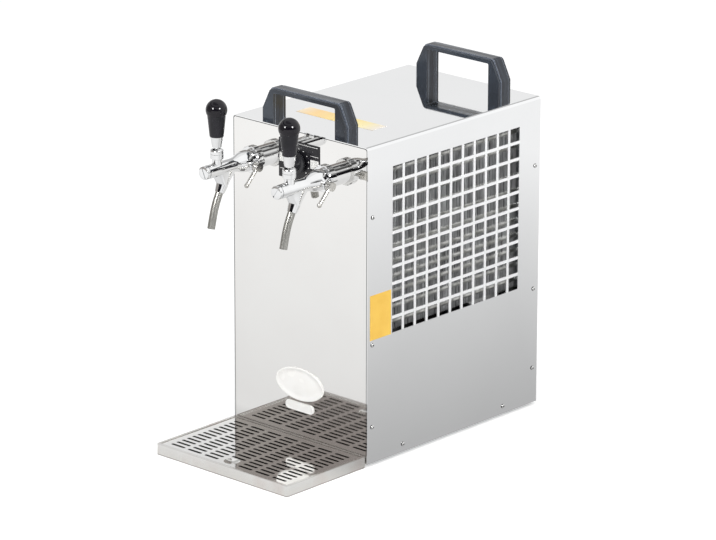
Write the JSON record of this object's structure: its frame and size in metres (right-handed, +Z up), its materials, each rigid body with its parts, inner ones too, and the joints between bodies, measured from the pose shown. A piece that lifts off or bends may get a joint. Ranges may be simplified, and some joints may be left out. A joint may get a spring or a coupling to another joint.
{
  "type": "two-tap countertop beer cooler",
  "caption": "Countertop dry beer cooler in a folded steel cabinet with side grille, carrying handles, compensator taps with black knobs, and a drip tray with a slotted grid",
  "frame": {"origin": "middle of the footprint of cabinet and tray, on the surface that it stands on", "axes": "+Z up, the taps face -Y, +X is the side with the grille"},
  "size_m": [0.2236, 0.4726, 0.4423],
  "materials": {
    "polished_steel": "mirror-polished stainless sheet",
    "satin_steel": "satin stainless sheet",
    "chrome": "polished chrome plate on brass",
    "spout_steel": "drawn stainless tube",
    "black_plastic": "glossy moulded black",
    "handle_plastic": "satin dark blue-grey moulding",
    "control_black": "printed black plate",
    "badge_white": "bare white plate",
    "sticker_yellow": "plain yellow sticker",
    "screw_steel": "stainless screws",
    "fin_aluminium": "thin condenser fins",
    "tube_copper": "copper tube",
    "galvanised": "zinc-plated sheet",
    "black_steel": "black painted steel",
    "block_aluminium": "cast aluminium",
    "foam": "rigid insulating foam",
    "rubber": "black rubber",
    "pump_grey": "painted pump housing",
    "beer_hose": "milky beer tube",
    "fitting_grey": "grey moulded fitting"
  },
  "bodies": {
    "cabinet": {"base_pan": "galvanised", "rubber_feet": "rubber", "wrap_cover": "satin_steel", "front_panel": "polished_steel", "rear_panel": "satin_steel", "side_screws_right": "screw_steel", "side_screws_left": "screw_steel", "front_handle": "handle_plastic", "rear_handle": "handle_plastic", "handle_screws": "screw_steel", "control_plate": "control_black", "oval_badge": "badge_white", "small_badge": "badge_white", "side_sticker": "sticker_yellow", "top_sticker": "sticker_yellow", "thermostat": "black_plastic", "condenser_fins": "fin_aluminium", "condenser_tubes": "tube_copper", "condenser_end_plates": "galvanised", "fan_shroud": "galvanised", "fan_motor": "black_steel", "compressor": "black_steel", "compressor_grommets": "rubber", "terminal_box": "black_plastic", "refrigerant_lines": "tube_copper", "insulation_box": "foam", "cooling_block": "block_aluminium", "beer_lines": "beer_hose", "air_pump": "pump_grey", "beer_inlet_left": "fitting_grey", "beer_inlet_right": "fitting_grey", "air_outlet": "fitting_grey", "mains_inlet": "black_plastic", "power_switch_frame": "black_plastic", "pump_switch_frame": "black_plastic", "shank_nuts": "chrome", "tap_shank_left": "chrome", "coupling_nut_left": "chrome", "tap_body_left": "chrome", "front_cap_left": "chrome", "spout_left": "spout_steel", "tap_shank_right": "chrome", "coupling_nut_right": "chrome", "tap_body_right": "chrome", "front_cap_right": "chrome", "spout_right": "spout_steel"},
    "left_tap_handle": {"tap_lever_left": "chrome", "tap_knob_left": "black_plastic"},
    "right_tap_handle": {"tap_lever_right": "chrome", "tap_knob_right": "black_plastic"},
    "left_flow_lever": {"flow_lever_left": "chrome"},
    "right_flow_lever": {"flow_lever_right": "chrome"},
    "thermostat_dial": {"thermostat_knob": "black_plastic"},
    "fan": {"fan_blades": "block_aluminium"},
    "power_rocker": {"power_rocker": "black_plastic"},
    "pump_rocker": {"pump_rocker": "black_plastic"},
    "tray": {"drip_tray": "polished_steel"},
    "grid": {"drip_grid": "satin_steel"}
  },
  "joints": [
    {"name": "left_tap_handle_tilt", "type": "hinge", "parent": "cabinet", "child": "left_tap_handle", "pos_m": [-0.059, -0.1787, 0.3755], "axis": [1, 0, 0], "range_deg": [-12, 28]},
    {"name": "left_flow_lever_turn", "type": "hinge", "parent": "cabinet", "child": "left_flow_lever", "pos_m": [-0.059, -0.1287, 0.352], "axis": [1, 0, 0], "range_deg": [-45, 45]},
    {"name": "right_tap_handle_tilt", "type": "hinge", "parent": "cabinet", "child": "right_tap_handle", "pos_m": [0.059, -0.1787, 0.3755], "axis": [1, 0, 0], "range_deg": [-12, 28]},
    {"name": "right_flow_lever_turn", "type": "hinge", "parent": "cabinet", "child": "right_flow_lever", "pos_m": [0.059, -0.1287, 0.352], "axis": [1, 0, 0], "range_deg": [-45, 45]},
    {"name": "thermostat_turn", "type": "hinge", "parent": "cabinet", "child": "thermostat_dial", "pos_m": [0, -0.0987, 0.36], "axis": [0, 1, 0], "range_deg": [-135, 135]},
    {"name": "fan_spin", "type": "hinge", "parent": "cabinet", "child": "fan", "pos_m": [0.07, 0.0638, 0.2645], "axis": [1, 0, 0], "continuous": true},
    {"name": "power_rocker_tilt", "type": "hinge", "parent": "cabinet", "child": "power_rocker", "pos_m": [0.068, 0.2133, 0.094], "axis": [1, 0, 0], "range_deg": [0, 20]},
    {"name": "pump_rocker_tilt", "type": "hinge", "parent": "cabinet", "child": "pump_rocker", "pos_m": [0.068, 0.2133, 0.128], "axis": [1, 0, 0], "range_deg": [0, 20]},
    {"name": "tray_slide", "type": "slide", "parent": "cabinet", "child": "tray", "axis": [0, -1, 0], "range_m": [0, 0.15]},
    {"name": "grid_lift", "type": "slide", "parent": "tray", "child": "grid", "axis": [0, 0, 1], "range_m": [0, 0.06]}
  ]
}
